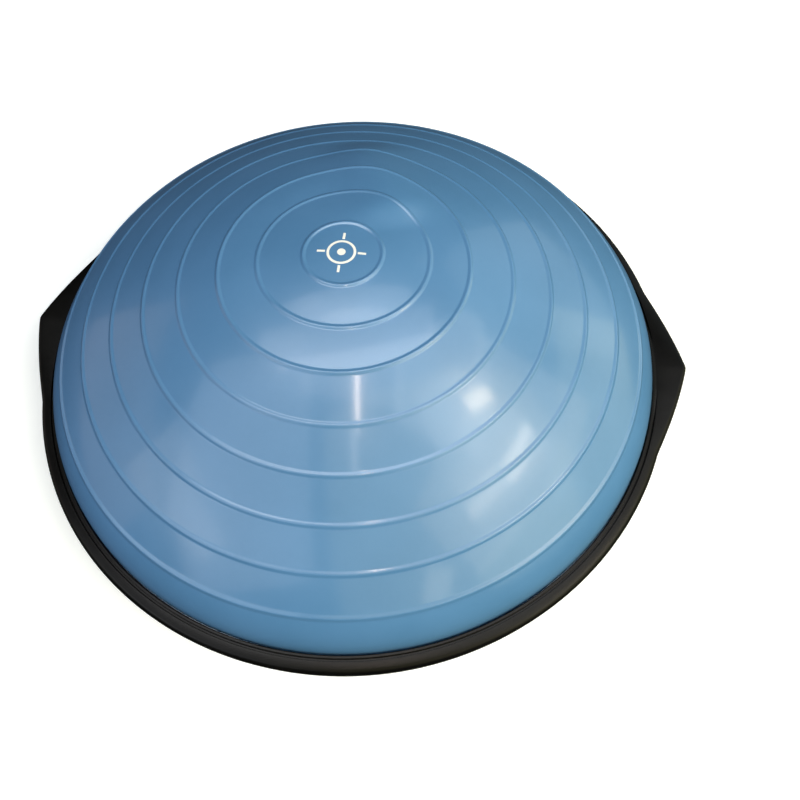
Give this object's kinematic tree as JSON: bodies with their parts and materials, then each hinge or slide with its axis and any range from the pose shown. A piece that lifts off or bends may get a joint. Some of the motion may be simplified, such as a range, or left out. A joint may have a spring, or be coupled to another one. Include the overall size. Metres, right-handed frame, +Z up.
{
  "type": "balance dome trainer",
  "caption": "Soft inflated dome with round raised ribs, clamped into a stiff round black platform that has a pointed hand grip on each side and an air plug underneath.",
  "frame": {"origin": "on the floor under the middle of the platform, at the height of the feet's undersides", "axes": "+X through the crest of one handle, +Z up through the top of the dome, the pictured side towards -Y"},
  "size_m": [0.678, 0.64, 0.2019],
  "materials": {
    "platform_plastic": "fine-grained moulded black",
    "dome_vinyl": "semi-gloss soft vinyl",
    "soft_rubber": "matt black rubber",
    "screw_steel": "zinc-plated",
    "plug_plastic": "soft off-white plastic"
  },
  "bodies": {
    "platform": {"base_plate": "platform_plastic", "retaining_ring": "platform_plastic", "rim_gasket": "soft_rubber", "valve_seat": "soft_rubber", "foot_1": "soft_rubber", "foot_2": "soft_rubber", "foot_3": "soft_rubber", "foot_4": "soft_rubber", "foot_5": "soft_rubber", "foot_6": "soft_rubber", "foot_7": "soft_rubber", "foot_8": "soft_rubber", "screw_01": "screw_steel", "screw_02": "screw_steel", "screw_03": "screw_steel", "screw_04": "screw_steel", "screw_05": "screw_steel", "screw_06": "screw_steel", "screw_07": "screw_steel", "screw_08": "screw_steel", "screw_09": "screw_steel", "screw_10": "screw_steel", "screw_11": "screw_steel", "screw_12": "screw_steel", "screw_13": "screw_steel", "screw_14": "screw_steel", "screw_15": "screw_steel", "screw_16": "screw_steel"},
    "dome_skin": {"dome": "dome_vinyl"},
    "plug": {"air_plug": "plug_plastic"}
  },
  "joints": [
    {"name": "dome_press", "type": "slide", "parent": "platform", "child": "dome_skin", "axis": [0, 0, -1], "range_m": [0, 0.04], "stiffness_N_per_m": 18000, "springref_m": -0.002, "deforming": ["dome"]},
    {"name": "air_plug_pull", "type": "slide", "parent": "platform", "child": "plug", "axis": [0, 0, -1], "range_m": [0, 0.018]}
  ]
}
